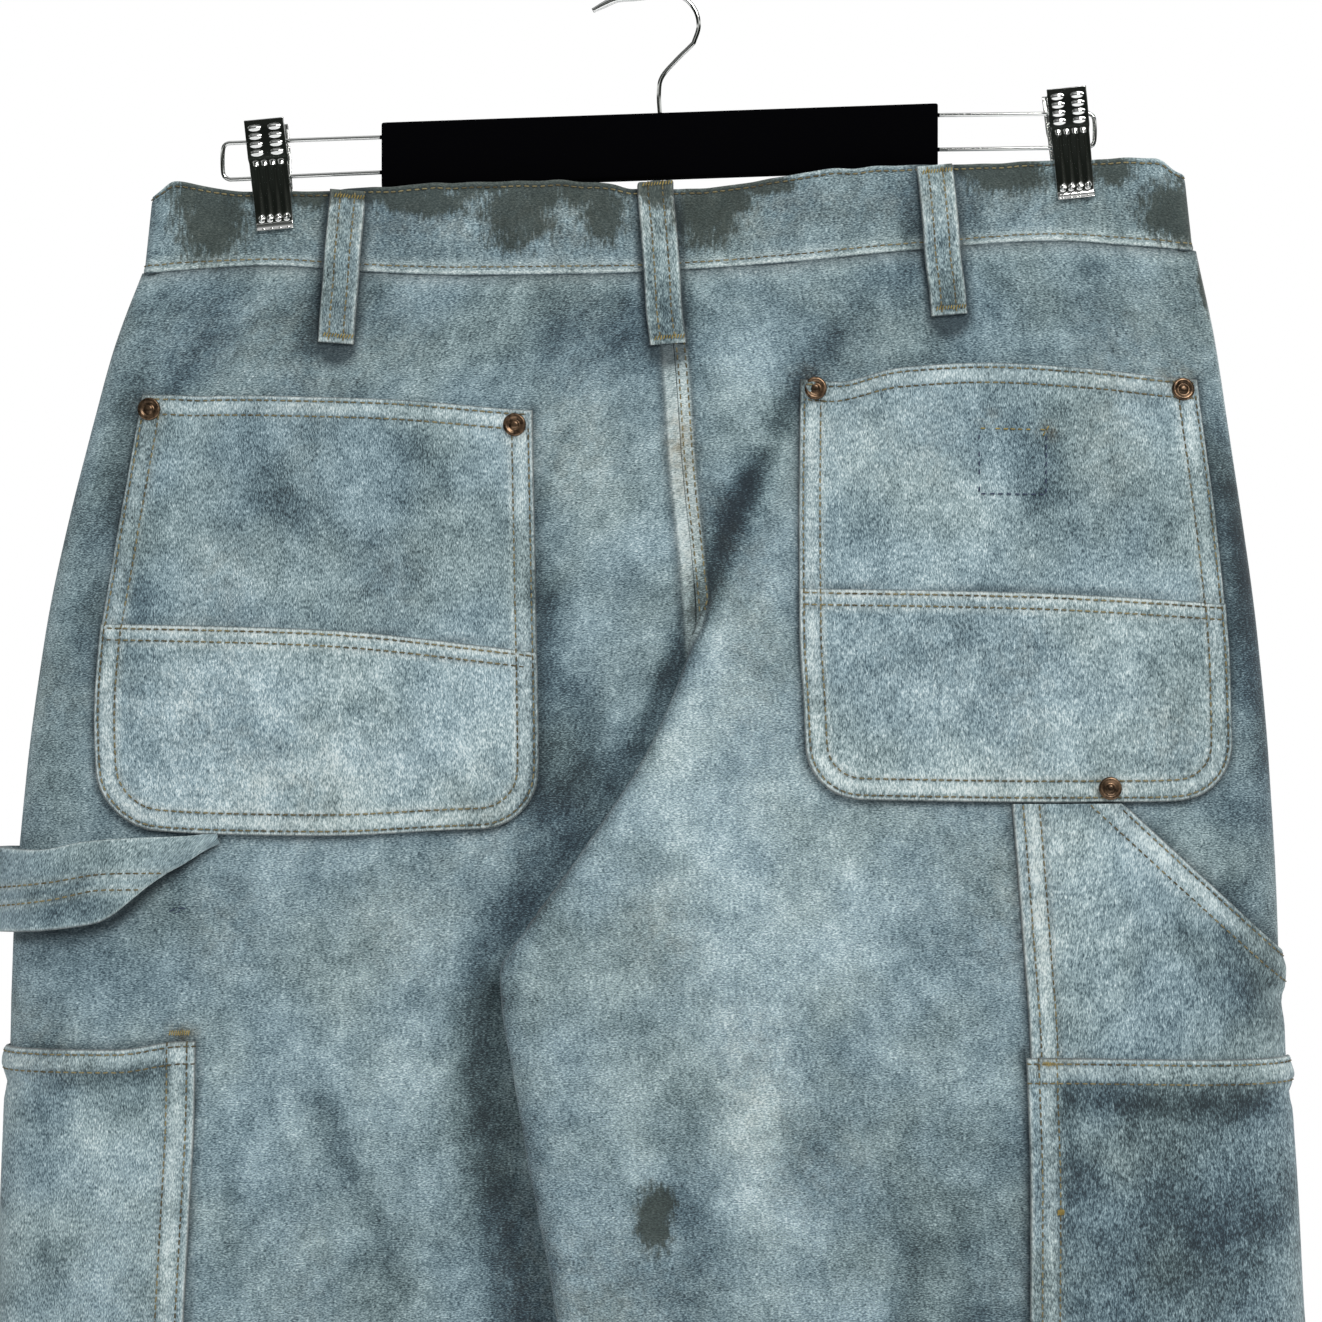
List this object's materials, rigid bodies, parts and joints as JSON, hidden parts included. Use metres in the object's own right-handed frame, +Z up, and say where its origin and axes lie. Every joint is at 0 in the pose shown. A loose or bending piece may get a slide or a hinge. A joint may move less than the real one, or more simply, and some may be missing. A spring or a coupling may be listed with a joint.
{
  "type": "carpenter cargo shorts on a clip hanger",
  "caption": "Worn pale blue canvas work shorts with patch, tool and side pockets and a hammer loop, hung by the waistband from a chrome clip hanger, seat side forward.",
  "frame": {"origin": "the inside of the hook's crown, where a rail carries the hanger", "axes": "+Z up from the hems to the hook, +Y from the seat side to the fly side, +X towards the wearer's right"},
  "size_m": [0.5699, 0.0708, 0.6879],
  "materials": {
    "panel_cloth": "washed pale blue cotton canvas, mottled, worn at the seams",
    "pocket_cloth": "washed pale blue cotton canvas, paler along its folded edges",
    "waistband_cloth": "washed blue canvas with dark grey-green stains along the top edge",
    "loop_cloth": "washed blue canvas strap with tan edge stitching",
    "copper": "aged copper brown, dark in the recesses",
    "chrome": "bright polished chrome",
    "bar_flock": "black velvet flocking over a rigid bar"
  },
  "bodies": {
    "root": {"back_panel_right": "panel_cloth", "back_panel_left": "panel_cloth", "front_panel_right": "panel_cloth", "front_panel_left": "panel_cloth", "front_pocket_facing_right": "pocket_cloth", "front_pocket_facing_left": "pocket_cloth", "fly_shield": "pocket_cloth", "back_pocket_left": "pocket_cloth", "back_pocket_right": "pocket_cloth", "back_pocket_left_reinforcement": "pocket_cloth", "back_pocket_right_reinforcement": "pocket_cloth", "hammer_loop": "pocket_cloth", "side_pocket_left": "pocket_cloth", "tool_pocket_upper_right": "pocket_cloth", "tool_pocket_lower_right": "pocket_cloth", "waistband": "waistband_cloth", "belt_loop_back_left": "loop_cloth", "belt_loop_back_centre": "loop_cloth", "belt_loop_back_right": "loop_cloth", "belt_loop_front_left": "loop_cloth", "belt_loop_front_right": "loop_cloth", "rivet_1": "copper", "rivet_2": "copper", "rivet_3": "copper", "rivet_4": "copper", "rivet_5": "copper", "waist_button": "copper", "hanger_bar": "bar_flock", "hanger_hook": "chrome", "hanger_wire_left": "chrome", "hanger_wire_right": "chrome", "clip_left_back": "chrome", "clip_left_front": "chrome", "clip_left_spring": "chrome", "clip_right_back": "chrome", "clip_right_front": "chrome", "clip_right_spring": "chrome"}
  },
  "joints": []
}
